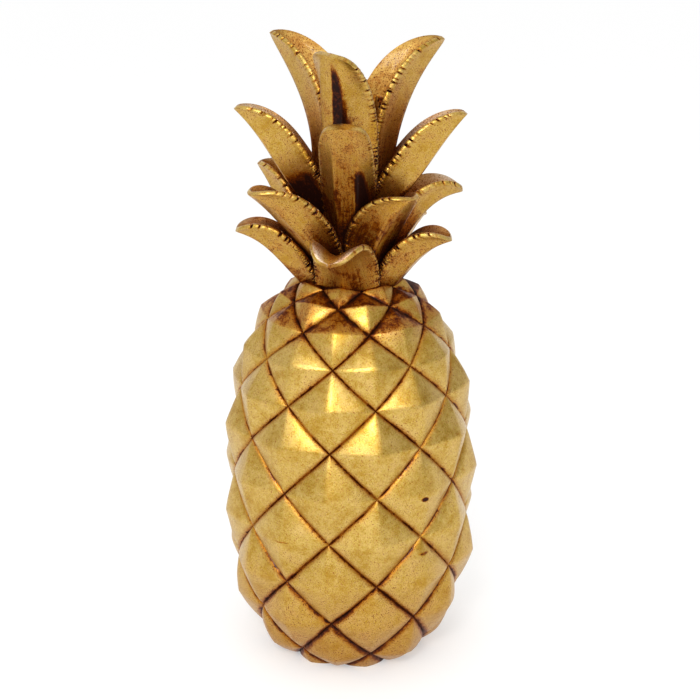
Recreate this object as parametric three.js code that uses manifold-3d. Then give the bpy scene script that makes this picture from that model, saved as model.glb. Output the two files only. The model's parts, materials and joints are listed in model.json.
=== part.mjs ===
// A gilded pineapple ornament, cast in one piece: a fruit of pyramid-shaped eyes between two sets of
// spiral grooves, and a crown of thick gutter-shaped leaves in four tiers.
// Millimetres, +Z up. The origin is the centre of the flat foot, and the viewer stands at -Y.
import * as THREE from "three";
import { mergeVertices } from "three/addons/utils/BufferGeometryUtils.js";
import Module from "manifold-3d";

// The fruit's outline at the bottom of its grooves
const FRUIT_RADIUS = 61.6;
const WIDEST_HEIGHT = 94;
const RISE_TO_TOP = 117;
const DROP_TO_BOTTOM = 106;
const TOP_FULLNESS = 2.7;
const BOTTOM_FULLNESS = 3.1;

// The eyes: pyramids on a lattice of grooves that wind both ways round the fruit
const EYES_ROUND = 8;
const EYE_HEIGHT = 6.7;
const EYE_CROWN = 0.8;
const GROOVE_WIDTH = 2.4;
const GROOVE_DEPTH = 1.4;
const LATTICE_TURN = THREE.MathUtils.degToRad(12.8);
const ROW_AT_WIDEST = 5.49;
const HIGH_ROW_SQUEEZE = 1.067;
const HIGH_ROW_BELOW = 4;
const LOW_ROW_STRETCH = 1.225;
const LOW_ROW_FROM = 8;
const FIRST_EYE_ROW = -1;
const LAST_EYE_ROW = 10;
const EYE_SIDE = (FRUIT_RADIUS * Math.PI * Math.SQRT2) / EYES_ROUND;
const OUTLINE_SAMPLES = 2000;

// The crown's stem, from inside the fruit to between the top leaves: its radius, and its height above the
// fruit's top
const FRUIT_TOP = WIDEST_HEIGHT + RISE_TO_TOP;
const STEM_PROFILE = [
  [22, -15],
  [23.5, -5],
  [19, 5],
  [17, 21],
  [15, 39],
  [12.5, 51],
  [4, 58],
];
const STEM_SIDES = 12;

// What the leaves have in common
const LEAF_WALL = 3.4;
const TIP_WALL = 2.2;
const TIP_HALF_WIDTH = 1.3;
const BACK_SHARE = 0.46;
const WING_FLARE = 1.3;
const WING_STEPS = 2;
const KEEL_PULL = 0.38;
const RIM_BEVEL = 0.35;
const LEAF_STEPS = 8;
const TIP_CLOSENESS = 1.5;
const KEEL = new THREE.Vector2(0, 0);

// The tiers of leaves: where the keel starts, and the half-width and the wings' depth where they are most.
// Heights are above the fruit's top. The leaves that face the viewer were modelled a little differently.
const TIERS = {
  top: { rootRadius: 19, rootHeight: 41, halfWidth: 16.4, depth: 15.5 },
  topFront: { rootRadius: 19, rootHeight: 41, halfWidth: 15.6, depth: 15.5 },
  middle: { rootRadius: 14, rootHeight: 27, halfWidth: 14.3, depth: 15 },
  middleFront: { rootRadius: 14, rootHeight: 27, halfWidth: 13.2, depth: 9 },
  lower: { rootRadius: 20, rootHeight: 4, halfWidth: 16.5, depth: 12 },
  bottom: { rootRadius: 24, rootHeight: -8, halfWidth: 14.4, depth: 10.5 },
  bottomFront: { rootRadius: 24, rootHeight: -8, halfWidth: 15.6, depth: 7 },
};

// Each leaf: its tier, its direction round the stem (0 towards the viewer, 90 to the right), its tip's
// distance from the axis and its height, the keel's slope above level at its root and at its tip, how it
// draws in to its tip, and its roll about the keel.
const LEAVES = [
  ["top", -118, 44.8, 117, 100, 52, "pointed", 0],
  ["topFront", -24, 40, 109.5, 80, 50, "square", 18],
  ["top", 111, 50.5, 114, 84, 46, "pointed", 0],
  ["top", 178, 40, 90, 88, 46, "pointed", 0],
  ["middle", -87, 57.6, 81.6, 36, 44, "pointed", 0],
  ["middleFront", -4, 45, 76.5, 85, 15, "square", 2],
  ["middle", 87, 58.3, 79, 34, 48, "pointed", 0],
  ["middle", 176, 57, 79, 35, 46, "pointed", 0],
  ["lower", -58, 57.6, 43, 50, 36, "pointed", 0],
  ["lower", 45, 43.8, 40.5, 70, 49, "pointed", 0],
  ["lower", 100, 58.7, 37.8, 56, 4, "pointed", 0],
  ["lower", 165, 56, 39, 55, 25, "pointed", 0],
  ["lower", -108, 49.5, 51.5, 40, 45, "pointed", 0],
  ["bottom", -83, 58.5, 20.3, 43, 16, "pointed", 0],
  ["bottomFront", -7, 49.5, 15, 55, -20, "pointed", 4],
  ["bottom", 72, 53.5, 17.3, 48, 18, "pointed", 0],
  ["bottom", 137, 56, 19, 45, 14, "pointed", 0],
  ["bottom", -150, 57, 20, 45, 14, "pointed", 0],
];

const FINISH = new THREE.MeshStandardMaterial({
  name: "gilding",
  color: 0xb8912f,
  metalness: 0.9,
  roughness: 0.35,
});

const wasm = await Module();
wasm.setup();

// A manifold-3d solid from a closed three.js geometry.
function solidFrom(geometry) {
  geometry.deleteAttribute("normal");
  geometry.deleteAttribute("uv");
  const merged = mergeVertices(geometry, 1e-4);
  return new wasm.Manifold(
    new wasm.Mesh({
      numProp: 3,
      vertProperties: merged.attributes.position.array,
      triVerts: new Uint32Array(merged.index.array),
    }),
  );
}

// A three.js geometry from a manifold-3d solid, with flat faces.
function geometryFrom(solid) {
  const mesh = solid.getMesh();
  const geometry = new THREE.BufferGeometry();
  geometry.setAttribute("position", new THREE.BufferAttribute(mesh.vertProperties, mesh.numProp));
  geometry.setIndex(new THREE.BufferAttribute(mesh.triVerts, 1));
  const faceted = geometry.toNonIndexed();
  faceted.computeVertexNormals();
  return faceted;
}

// A closed geometry from points and triangles of point numbers.
function geometryOf(points, triangles) {
  const geometry = new THREE.BufferGeometry();
  geometry.setFromPoints(points);
  geometry.setIndex(triangles.flat());
  return geometry;
}

// The point of the outline at an angle from -90 degrees, the bottom pole, to 90, the top pole.
function outlineAt(angle) {
  const up = Math.sin(angle) >= 0;
  const reach = up ? RISE_TO_TOP : -DROP_TO_BOTTOM;
  const power = 2 / (up ? TOP_FULLNESS : BOTTOM_FULLNESS);
  return new THREE.Vector2(
    FRUIT_RADIUS * Math.cos(angle),
    WIDEST_HEIGHT + reach * Math.pow(Math.abs(Math.sin(angle)), power),
  );
}

// The rows of the lattice are as far apart along the outline as its columns are round it, so that the
// grooves cross at right angles. The table holds the row number at each small step down the outline.
function rowTable() {
  const column = Math.PI / EYES_ROUND;
  const places = Array.from({ length: OUTLINE_SAMPLES }, (_, i) => (i + 1 / 2) / OUTLINE_SAMPLES);
  const points = places.map((place) => outlineAt(Math.PI * (1 / 2 - place)));
  const rows = [0];
  for (let i = 1; i < OUTLINE_SAMPLES; i++) {
    const radius = (points[i].x + points[i - 1].x) / 2;
    rows.push(rows[i - 1] + points[i].distanceTo(points[i - 1]) / (radius * column));
  }
  const widest = points.findIndex((p) => p.y <= WIDEST_HEIGHT);
  const shift = ROW_AT_WIDEST - rows[widest];
  return { points, rows: rows.map((r) => stretchedRow(r + shift)) };
}

// The lowest rows are taller than the rule gives, and the highest ones a little shorter.
function stretchedRow(row) {
  if (row > LOW_ROW_FROM) return LOW_ROW_FROM + (row - LOW_ROW_FROM) / LOW_ROW_STRETCH;
  if (row < HIGH_ROW_BELOW) return HIGH_ROW_BELOW + (row - HIGH_ROW_BELOW) * HIGH_ROW_SQUEEZE;
  return row;
}

const ROW_TABLE = rowTable();

// The outline's point at a row number, which need not be whole, and the direction that faces out there.
function outlineAtRow(row) {
  const { points, rows } = ROW_TABLE;
  let low = 0;
  let high = rows.length - 1;
  while (high - low > 1) {
    const middle = (low + high) >> 1;
    if (rows[middle] <= row) low = middle;
    else high = middle;
  }
  const share = (row - rows[low]) / (rows[high] - rows[low]);
  const along = points[high].clone().sub(points[low]).normalize();
  return { at: points[low].clone().lerp(points[high], share), out: new THREE.Vector2(-along.y, along.x) };
}

// How far the surface stands above the bottom of the grooves, at a place inside one eye. Both numbers run
// from 0 to 1 across the eye, from groove to groove.
function eyeRelief(across, down, radius) {
  const inward = 2 * Math.min(across, 1 - across, down, 1 - down);
  const scale = radius / FRUIT_RADIUS;
  const grooveShare = GROOVE_WIDTH / (EYE_SIDE * scale);
  const climb = THREE.MathUtils.clamp((inward - grooveShare) / (1 - grooveShare), 0, 1);
  const shoulder = Math.min(1, inward / grooveShare);
  return GROOVE_DEPTH * shoulder + (EYE_HEIGHT - GROOVE_DEPTH) * scale * Math.pow(climb, EYE_CROWN);
}

// The surface at a row and a column of the lattice.
function fruitPoint(row, column, across, down) {
  const { at, out } = outlineAtRow(row);
  const relief = eyeRelief(across, down, at.x);
  const radius = Math.max(0.5, at.x + out.x * relief);
  const turn = LATTICE_TURN + (column * Math.PI) / EYES_ROUND;
  return new THREE.Vector3(
    radius * Math.sin(turn),
    -radius * Math.cos(turn),
    at.y + out.y * relief,
  );
}

// The fruit: every eye is a small grid between its four grooves, and the open ends close on the axis.
function fruitSolid() {
  const groove = GROOVE_WIDTH / 2 / EYE_SIDE;
  const lines = [0, groove, 0.5, 1 - groove, 1];
  const cells = lines.length - 1;
  const triangles = [];
  const points = [];
  const numbers = new Map();
  const numberOf = (point) => {
    const key = point.toArray().map((v) => Math.round(v * 1000)).join();
    if (!numbers.has(key)) {
      numbers.set(key, points.length);
      points.push(point);
    }
    return numbers.get(key);
  };
  for (let row = FIRST_EYE_ROW; row <= LAST_EYE_ROW; row++) {
    for (let eye = 0; eye < EYES_ROUND; eye++) {
      const column = 2 * eye + (Math.abs(row) % 2);
      const grid = lines.map((across) =>
        lines.map((down) =>
          numberOf(fruitPoint(row - 1 + across + down, column + across - down, across, down)),
        ),
      );
      for (let i = 0; i < cells; i++) {
        for (let k = 0; k < cells; k++) {
          const [a, b, c, d] = [grid[i][k], grid[i + 1][k], grid[i + 1][k + 1], grid[i][k + 1]];
          const levelRidge = i < cells / 2 !== k < cells / 2;
          if (levelRidge) triangles.push([a, d, b], [b, d, c]);
          else triangles.push([a, d, c], [a, c, b]);
        }
      }
    }
  }
  closeOnAxis(points, triangles);
  return solidFrom(geometryOf(points, triangles));
}

// Closes each open rim with a fan of triangles to a point on the axis, level with the rim's mean height.
function closeOnAxis(points, triangles) {
  const next = new Map();
  const edges = new Set(triangles.flatMap(([a, b, c]) => [a + "," + b, b + "," + c, c + "," + a]));
  for (const edge of edges) {
    const [a, b] = edge.split(",").map(Number);
    if (!edges.has(b + "," + a)) next.set(b, a);
  }
  while (next.size) {
    const [start] = next.keys();
    const rim = [start];
    while (next.get(rim.at(-1)) !== start) rim.push(next.get(rim.at(-1)));
    const height = rim.reduce((sum, n) => sum + points[n].z, 0) / rim.length;
    const hub = points.push(new THREE.Vector3(0, 0, height)) - 1;
    rim.forEach((n, i) => triangles.push([n, rim[(i + 1) % rim.length], hub]));
    rim.forEach((n) => next.delete(n));
  }
}

// Everything under the flat foot, to be cut away.
function belowFoot() {
  const side = 4 * FRUIT_RADIUS;
  const block = new THREE.BoxGeometry(side, side, side);
  block.translate(0, 0, -side / 2);
  return solidFrom(block);
}

// The stem is turned about the axis.
function stemSolid() {
  const closed = [[0, STEM_PROFILE[0][1]], ...STEM_PROFILE, [0, STEM_PROFILE.at(-1)[1]]];
  const profile = closed.map(([radius, height]) => new THREE.Vector2(radius, FRUIT_TOP + height));
  const turned = new THREE.LatheGeometry(profile, STEM_SIDES);
  turned.rotateX(Math.PI / 2);
  return solidFrom(turned);
}

// The keel of a leaf in the plane of the axis: x is the distance from the axis and y the height.
function keelCurve(tier, tipRadius, tipHeight, leaving, arriving) {
  const root = new THREE.Vector2(tier.rootRadius, FRUIT_TOP + tier.rootHeight);
  const tip = new THREE.Vector2(tipRadius, FRUIT_TOP + tipHeight);
  const pull = root.distanceTo(tip) * KEEL_PULL;
  const heading = (degrees) => {
    const slope = THREE.MathUtils.degToRad(degrees);
    return new THREE.Vector2(Math.cos(slope), Math.sin(slope)).multiplyScalar(pull);
  };
  return new THREE.CubicBezierCurve(
    root,
    root.clone().add(heading(leaving)),
    tip.clone().sub(heading(arriving)),
    tip,
  );
}

// How a leaf swells from its root and draws in to its tip: the share of its most at a share of its length.
const SHAPES = {
  pointed: {
    width: { root: 1, fullest: 0.2, hold: 2.1, bluntness: 0.36 },
    depth: { root: 0.62, fullest: 0.39, hold: 2.9, bluntness: 0.8 },
  },
  square: {
    width: { root: 1, fullest: 0.3, hold: 4, bluntness: 0.24 },
    depth: { root: 0.8, fullest: 0.3, hold: 1.8, bluntness: 0.9 },
  },
};

function swell({ root, fullest, hold, bluntness }, along) {
  if (along < fullest) return root + (1 - root) * Math.sin((along / fullest) * (Math.PI / 2));
  return Math.pow(1 - Math.pow((along - fullest) / (1 - fullest), hold), bluntness);
}

// One leaf: sections of a gutter, joined from the root to the tip.
function leafSolid([tierName, degrees, tipRadius, tipHeight, leaving, arriving, shapeName, roll]) {
  const tier = TIERS[tierName];
  const shape = SHAPES[shapeName];
  const keel = keelCurve(tier, tipRadius, tipHeight, leaving, arriving);
  const turn = THREE.MathUtils.degToRad(degrees);
  const outward = new THREE.Vector3(Math.sin(turn), -Math.cos(turn), 0);
  const sideways = new THREE.Vector3(Math.cos(turn), Math.sin(turn), 0);
  const up = new THREE.Vector3(0, 0, 1);
  const points = [];
  for (let step = 0; step <= LEAF_STEPS; step++) {
    const along = 1 - Math.pow(1 - step / LEAF_STEPS, TIP_CLOSENESS);
    const at = keel.getPoint(along);
    const heading = keel.getTangent(along);
    const inward = outward.clone().multiplyScalar(-heading.y).addScaledVector(up, heading.x);
    const halfWidth = Math.max(TIP_HALF_WIDTH, tier.halfWidth * swell(shape.width, along));
    const depth = tier.depth * swell(shape.depth, along);
    const wall = THREE.MathUtils.lerp(LEAF_WALL, TIP_WALL, along);
    const centre = outward.clone().multiplyScalar(at.x).addScaledVector(up, at.y);
    for (const [x, y] of leafSection(halfWidth, depth, wall)) {
      const place = new THREE.Vector2(x, y).rotateAround(KEEL, -THREE.MathUtils.degToRad(roll));
      points.push(centre.clone().addScaledVector(sideways, place.x).addScaledVector(inward, place.y));
    }
  }
  return solidFrom(loft(points, LEAF_STEPS + 1));
}

// A section's points in order round it: the outer face from the left rim to the right, then the inner
// face back. x runs across the leaf, and y from its flat back towards its hollow. The wings stand up on
// both sides of the back, and flare.
function leafSection(halfWidth, depth, wall) {
  const wings = Array.from({ length: WING_STEPS + 1 }, (_, i) => i / WING_STEPS);
  const right = wings.map((wing) => BACK_SHARE + (1 - BACK_SHARE) * wing);
  const shares = [...right.map((share) => -share).reverse(), ...right];
  const rises = wings.map((wing) => depth * (1 - Math.pow(1 - wing, WING_FLARE)));
  const rise = (share) => rises[right.indexOf(Math.abs(share))];
  const outer = shares.map((share) => [halfWidth * share, rise(share) - wall / 3]);
  const innerShare = 1 - Math.min(1 / 2, (RIM_BEVEL * wall) / halfWidth);
  const inner = shares.map((share) => [-halfWidth * innerShare * share, rise(share) + (2 * wall) / 3]);
  return [...outer, ...inner];
}

// A closed geometry through rings of equally many points, with flat ends.
function loft(points, ringCount) {
  const size = points.length / ringCount;
  const triangles = [];
  for (let ring = 0; ring < ringCount - 1; ring++) {
    for (let i = 0; i < size; i++) {
      const here = ring * size + i;
      const beside = ring * size + ((i + 1) % size);
      triangles.push([here, beside, beside + size], [here, beside + size, here + size]);
    }
  }
  const last = (ringCount - 1) * size;
  for (let i = 0; i < size / 2 - 1; i++) {
    const [a, b] = [i, i + 1];
    const [c, d] = [size - 1 - i, size - 2 - i];
    triangles.push([a, d, b], [a, c, d]);
    triangles.push([last + a, last + b, last + d], [last + a, last + d, last + c]);
  }
  return geometryOf(points, triangles);
}

// The casting is solid wherever the leaves and the stem shut a pocket in.
function withoutPockets(solid) {
  return solid.decompose().reduce((a, b) => (a.volume() > b.volume() ? a : b));
}

const casting = LEAVES.map(leafSolid)
  .reduce((whole, leaf) => whole.add(leaf), fruitSolid().add(stemSolid()))
  .subtract(belowFoot());

const pineapple = new THREE.Mesh(geometryFrom(withoutPockets(casting)), FINISH);
pineapple.name = "pineapple";

const ornament = new THREE.Group();
ornament.add(pineapple);

export default ornament;
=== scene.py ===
# %% [markdown]
# # A gilded pineapple
#
# A life-size pineapple ornament, cast in resin, laid with gold and rubbed with dark wash. It is one
# casting: a fruit whose eyes are low pyramids between two sets of spiral grooves, and a crown of thick,
# gutter-shaped leaves whose rims are notched.
#
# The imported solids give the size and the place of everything. The fine surface is made here, from the same
# few sizes as the solids: one mesh for the whole casting, because the real one has no joints. Only the
# three leaves that face the viewer are shaped a little otherwise than in the solids.

import json
import math

import bpy
import numpy as np
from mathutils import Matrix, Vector

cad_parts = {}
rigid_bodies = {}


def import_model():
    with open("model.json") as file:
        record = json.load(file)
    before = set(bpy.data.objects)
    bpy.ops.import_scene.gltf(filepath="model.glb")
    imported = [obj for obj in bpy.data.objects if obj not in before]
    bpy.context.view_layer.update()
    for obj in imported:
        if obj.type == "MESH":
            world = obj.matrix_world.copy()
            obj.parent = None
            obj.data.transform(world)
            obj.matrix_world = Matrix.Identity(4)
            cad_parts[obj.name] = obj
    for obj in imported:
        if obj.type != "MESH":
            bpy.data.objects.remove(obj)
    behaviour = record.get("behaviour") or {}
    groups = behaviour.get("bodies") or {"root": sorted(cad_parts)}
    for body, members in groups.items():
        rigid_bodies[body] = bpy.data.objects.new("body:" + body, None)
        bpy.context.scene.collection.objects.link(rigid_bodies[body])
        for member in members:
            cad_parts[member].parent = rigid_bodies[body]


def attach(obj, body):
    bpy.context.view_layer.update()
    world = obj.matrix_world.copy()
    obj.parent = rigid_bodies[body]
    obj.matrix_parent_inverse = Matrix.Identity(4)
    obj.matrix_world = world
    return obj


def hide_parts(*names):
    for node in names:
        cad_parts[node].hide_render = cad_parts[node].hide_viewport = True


MM = 0.001
for leftover in list(bpy.data.objects):
    bpy.data.objects.remove(leftover)
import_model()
bpy.context.view_layer.update()

# %% [markdown]
# ## Helpers for node trees
#
# A node tree is built in the script, so that every size in it can be read here. One small function adds a
# node with its settings and its links, whatever its kind. A Map Range node is given its value, the range
# that the value comes in, and the range that it is turned into, from 0 to 1 where nothing else is said.

# %% One function that adds a node
MATH = "ShaderNodeMath"
VECTOR = "ShaderNodeVectorMath"
RANGE = "ShaderNodeMapRange"
MIX = "ShaderNodeMix"
NOISE = "ShaderNodeTexNoise"


def add(tree, kind, *inputs, **settings):
    """A new node. Its inputs come in their order, or as one dict by name or number.

    A socket is linked, and so is a node, by its first live output. Any other value is typed in.
    """
    node = tree.nodes.new(kind)
    for name, value in settings.items():
        setattr(node, name, value)
    chosen = inputs[0] if inputs and isinstance(inputs[0], dict) else dict(enumerate(inputs))
    for name, value in chosen.items():
        if isinstance(value, bpy.types.Node):
            value = next(socket for socket in value.outputs if socket.enabled)
        if isinstance(value, bpy.types.NodeSocket):
            tree.links.new(value, node.inputs[name])
        else:
            node.inputs[name].default_value = value
    return node


def weighed(tree, *parts):
    """The sum of values, each times its weight."""
    total = 0.0
    for value, weight in parts:
        total = add(tree, MATH, value, weight, total, operation="MULTIPLY_ADD")
    return total


def product(tree, *values):
    """The product of values."""
    total = values[0]
    for value in values[1:]:
        total = add(tree, MATH, total, value, operation="MULTIPLY")
    return total


# %% [markdown]
# ## The gilding
#
# The real finish is gold leaf or gold paint on resin, sealed with a thin clear varnish, then rubbed with a
# brown wash that stays wherever the cloth can't reach. So the metal is warm and a little uneven, the wash
# turns it amber at first and dark brown in the grooves, and the varnish gives the pale edge reflections.
#
# The wash could be painted by hand on a texture. Here it follows attributes that the mesh carries: how far
# a point is from a groove, how sheltered it is, where it lies on its eye or its leaf, and whether it is in
# a notch of a leaf's rim. The same colours also paint shade: where the casting is sheltered, in the notches,
# in the leaves' hollows and beside their backs, and towards the foot. Inside the top leaves the gold is
# darkened as painted shade, and high up inside the wings of the other leaves a pale colour is a painted
# reflection.

# %% Sizes and colours of the finish
PATCH_MM = 9.0
MOTTLE_MM = 2.6
SPECKLE_MM = 0.5
STREAK_WIDTH_MM = 1.1
STREAK_LENGTH_MM = 12.0
WRINKLE_MM = 0.8
WRINKLE_DEPTH_MM = 0.16
HAND_WOBBLE_MM = 14.0
HAND_WOBBLE_DEPTH_MM = 0.5


def linear(hex_colour):
    """An sRGB hex colour as linear red, green, blue and alpha."""
    channels = [int(hex_colour[i : i + 2], 16) / 255 for i in (1, 3, 5)]
    return tuple(c / 12.92 if c <= 0.04045 else ((c + 0.055) / 1.055) ** 2.4 for c in channels) + (1.0,)


GOLD_LIGHT = linear("#E3C97E")
GOLD_MID = linear("#CEAE58")
GOLD_WORN = linear("#AE8628")
# Painted shade inside the hollows of the top leaves
GOLD_PAINTED_SHADE_INSIDE = linear("#A89050")
# A painted reflection of the white room, high up inside the wings of the other leaves
GOLD_PAINTED_REFLECTION = linear("#DDD2C0")
# Wash colours, which also paint shade
AMBER_WASH_AND_SHADE = linear("#AC6006")
BROWN_WASH_AND_SHADE = linear("#662A03")
DARK_WASH_AND_SHADE = linear("#2A0C03")
GOLD_TONES = [(0.53, GOLD_WORN), (0.62, GOLD_MID), (0.73, GOLD_LIGHT)]
WASH_AND_SHADE_TONES = [(0.0, AMBER_WASH_AND_SHADE), (0.35, AMBER_WASH_AND_SHADE), (0.62, BROWN_WASH_AND_SHADE), (1.0, DARK_WASH_AND_SHADE)]


def set_tones(ramp, tones):
    """Gives a colour ramp its (place, colour) stops."""
    elements = ramp.color_ramp.elements
    while len(elements) < len(tones):
        elements.new(0.5)
    for element, (place, colour) in zip(elements, tones):
        element.position = place
        element.color = colour


# %% Wash and painted shade on the fruit
GROOVE_FADE_MM = 2.8
GROOVE_LINE_MM = 0.6
GROOVE_SPOT_FROM_MM = 0.3
GROOVE_SPOT_MM = 1.6
GROOVE_WANDER_MM = 0.5


def wash_and_shade_on_fruit(tree, reading, patch, mottle):
    """Wash in and beside the grooves, darker under the crown, and towards the foot both wash that ran down
    and painted shade.
    """
    wander = add(tree, RANGE, mottle, 0.3, 0.7, -GROOVE_WANDER_MM * MM, GROOVE_WANDER_MM * MM)
    distance = add(tree, MATH, reading["groove_distance"], wander, operation="ADD")
    fade = add(tree, RANGE, distance, 0.0, GROOVE_FADE_MM * MM, 1.0, 0.0)
    fade = add(tree, MATH, fade, 1.2, operation="POWER")
    fade = product(tree, fade, add(tree, RANGE, patch, 0.35, 0.6, 0.55, 1.1))
    line = add(tree, RANGE, distance, 0.0, GROOVE_LINE_MM * MM, 1.0, 0.0)
    line = product(tree, line, add(tree, RANGE, patch, 0.4, 0.6, 0.1, 1.0))
    beside = add(tree, RANGE, distance, GROOVE_SPOT_FROM_MM * MM, GROOVE_SPOT_MM * MM, 1.0, 0.0)
    spots = product(tree, beside, add(tree, RANGE, mottle, 0.55, 0.66))

    down_the_eye = add(tree, MATH, reading["across"], reading["down"], operation="ADD")
    upper_facets = add(tree, RANGE, down_the_eye, 0.97, 1.03, 1.0, 0.0)
    patchy = weighed(tree, (upper_facets, 0.65), (add(tree, RANGE, patch, 0.42, 0.56), 0.45))
    under_crown = product(tree, add(tree, RANGE, reading["row"], 0.5, 1.6, 1.0, 0.0), patchy)
    # Towards the foot: wash, and painted shade that dims the floor's reflection in the low eyes
    low_rows = add(tree, RANGE, reading["row"], 6.0, 9.5)
    at_foot = product(tree, low_rows, add(tree, RANGE, fade, 0.0, 0.5, 0.55, 1.0))
    stain = add(tree, RANGE, patch, 0.5, 0.66)
    parts = ((fade, 0.4), (line, 0.26), (spots, 0.38), (under_crown, 0.58), (at_foot, 0.46), (stain, 0.1))
    return weighed(tree, *parts)


# %% Wash and painted shade on the leaves
VALLEY_FROM = 0.3
VALLEY_SHARE = 0.5


def kept_clear_high_inside(tree, reading):
    """The share of wash and painted shade kept high up inside the wings, where the painted reflection lies.
    """
    from_keel = add(tree, MATH, reading["wing"], operation="ABSOLUTE")
    high = add(tree, RANGE, from_keel, 0.35, 0.8)
    return add(tree, RANGE, product(tree, reading["hollow"], high), 0.0, 1.0, 1.0, 0.15)


def painted_shade_in_valley(tree, reading, mottle):
    """The painted shade beside a leaf's back: widest near the root, drawn to a point higher up."""
    to_go = add(tree, MATH, reading["valley_end"], reading["along"], operation="SUBTRACT")
    whole = add(tree, MATH, reading["valley_end"], VALLEY_FROM, operation="SUBTRACT")
    share_left = add(tree, MATH, to_go, whole, operation="DIVIDE", use_clamp=True)
    reach = product(tree, add(tree, MATH, share_left, 0.3, operation="POWER"), VALLEY_SHARE)
    wander = add(tree, RANGE, mottle, 0.3, 0.7, -0.07, 0.07)
    from_back = add(tree, MATH, reading["wing"], reading["valley_at"], operation="SUBTRACT")
    past = add(tree, MATH, from_back, reach, operation="SUBTRACT")
    past = add(tree, MATH, past, wander, operation="ADD")
    begun = add(tree, RANGE, from_back, -0.03, 0.04)
    not_past = add(tree, RANGE, past, -0.07, 0.07, 1.0, 0.0)
    outer_face = add(tree, MATH, 1.0, reading["hollow"], operation="SUBTRACT")
    return product(tree, begun, not_past, add(tree, RANGE, to_go, 0.0, 0.12), outer_face)


def wash_and_shade_on_leaf(tree, reading, patch, mottle, speckle, streak):
    """More wash towards the root and on the flat back, in streaks as brushed, and least on the rims.

    Painted shade beside the back, and wash with painted shade in the hollow and in the notches.
    """
    near_root = add(tree, RANGE, reading["along"], 0.25, 0.9, 1.0, 0.15)
    brushed = add(tree, RANGE, weighed(tree, (streak, 0.5), (patch, 0.5)), 0.38, 0.6)
    from_keel = add(tree, MATH, reading["wing"], operation="ABSOLUTE")
    on_back = add(tree, RANGE, from_keel, 0.38, 0.6, 1.25, 0.7)
    outside = product(tree, reading["left_wash"], near_root, brushed, on_back)
    valley_shade = painted_shade_in_valley(tree, reading, mottle)
    # Inside the hollow: wash, and painted shade, deeper towards the root
    deep_inside = add(tree, RANGE, reading["along"], 0.3, 0.9, 0.85, 0.2)
    inside = product(tree, reading["hollow"], kept_clear_high_inside(tree, reading), deep_inside)
    film = weighed(tree, (reading["left_wash"], 0.22), (add(tree, RANGE, patch, 0.48, 0.64), 0.12))
    wash = weighed(tree, (outside, 0.62), (film, 1.0), (valley_shade, 0.85), (inside, 0.6))

    wiped = product(tree, wash, add(tree, RANGE, reading["rim"], 0.3, 1.0, 1.0, 0.2))
    low_rim = add(tree, RANGE, reading["along"], 0.2, 0.65, 1.0, 0.0)
    flaky = add(tree, RANGE, speckle, 0.44, 0.56)
    caked = product(tree, reading["rim"], low_rim, flaky)
    # Wash and painted shade in the notches of the rims
    wash_and_shade_in_notches = product(tree, reading["notch"], add(tree, RANGE, mottle, 0.35, 0.6, 0.4, 1.5))
    return weighed(tree, (wiped, 1.0), (wash_and_shade_in_notches, 1.1), (caked, 0.9))


# %% Marks of wear, and all the wash and painted shade together
# Where each mark on the eyes is and how far it reaches each way, in mm, and how dark it is
WEAR_MARKS = [
    ((37.9, -55.6, 103.6), (2.2, 3.0, 1.5), 0.9),
    ((38.0, -52.0, 72.4), (4.0, 3.5, 1.0), 0.45),
    ((-35.1, -57.9, 81.2), (5.0, 4.0, 0.4), 0.35),
]


def wash_in_marks(tree, place):
    """Small dark marks of wear."""
    total = 0.0
    for at, reach, strength in WEAR_MARKS:
        centre = tuple(v * MM for v in at)
        size = tuple(1.0 / (v * MM) for v in reach)
        away = add(tree, VECTOR, place, centre, operation="SUBTRACT")
        away = add(tree, VECTOR, away, size, operation="MULTIPLY")
        away = add(tree, VECTOR, away, operation="LENGTH")
        mark = add(tree, RANGE, away, 0.55, 1.1, strength, 0.0)
        total = add(tree, MATH, mark, total, operation="ADD")
    return total


def wash_and_shade_amount(tree, reading, place, patch, mottle, speckle, streak):
    """From 0, where the cloth wiped the gold bare, to 1, where the wash is as thick as paint; it carries
    painted shade too.
    """
    on_fruit = wash_and_shade_on_fruit(tree, reading, patch, mottle)
    on_leaf = wash_and_shade_on_leaf(tree, reading, patch, mottle, speckle, streak)
    here = add(tree, MIX, {0: reading["on_leaf"], 2: on_fruit, 3: on_leaf}, data_type="FLOAT")
    # Wash, and painted shade, where the casting sees little of the room
    wash_and_shade_in_shelter = add(tree, RANGE, reading["shelter"], 0.16, 0.75)
    wash_and_shade_in_shelter = product(tree, wash_and_shade_in_shelter, add(tree, RANGE, reading["on_leaf"], 0.0, 1.0, 0.28, 0.55))
    wash_and_shade_in_shelter = product(tree, wash_and_shade_in_shelter, kept_clear_high_inside(tree, reading))
    both = add(tree, MATH, here, wash_and_shade_in_shelter, operation="ADD")
    ragged = product(tree, both, add(tree, RANGE, mottle, 0.3, 0.7, 0.6, 1.3))
    speckled = add(tree, RANGE, speckle, 0.54, 0.66)
    wash = weighed(tree, (ragged, 1.0), (speckled, 0.5), (wash_in_marks(tree, place), 1.0))
    return add(tree, MATH, wash, 0.0, operation="MAXIMUM", use_clamp=True)


# %% Gold leaf on resin, varnished and rubbed with wash, with painted shade and a painted reflection
FRUIT_READINGS = ("groove_distance", "row", "across", "down", "shelter")
LEAF_READINGS = ("on_leaf", "along", "wing", "hollow", "dull_and_shaded", "rim", "notch")
WASH_AND_SHADE_READINGS = ("left_wash", "valley_at", "valley_end")


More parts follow.
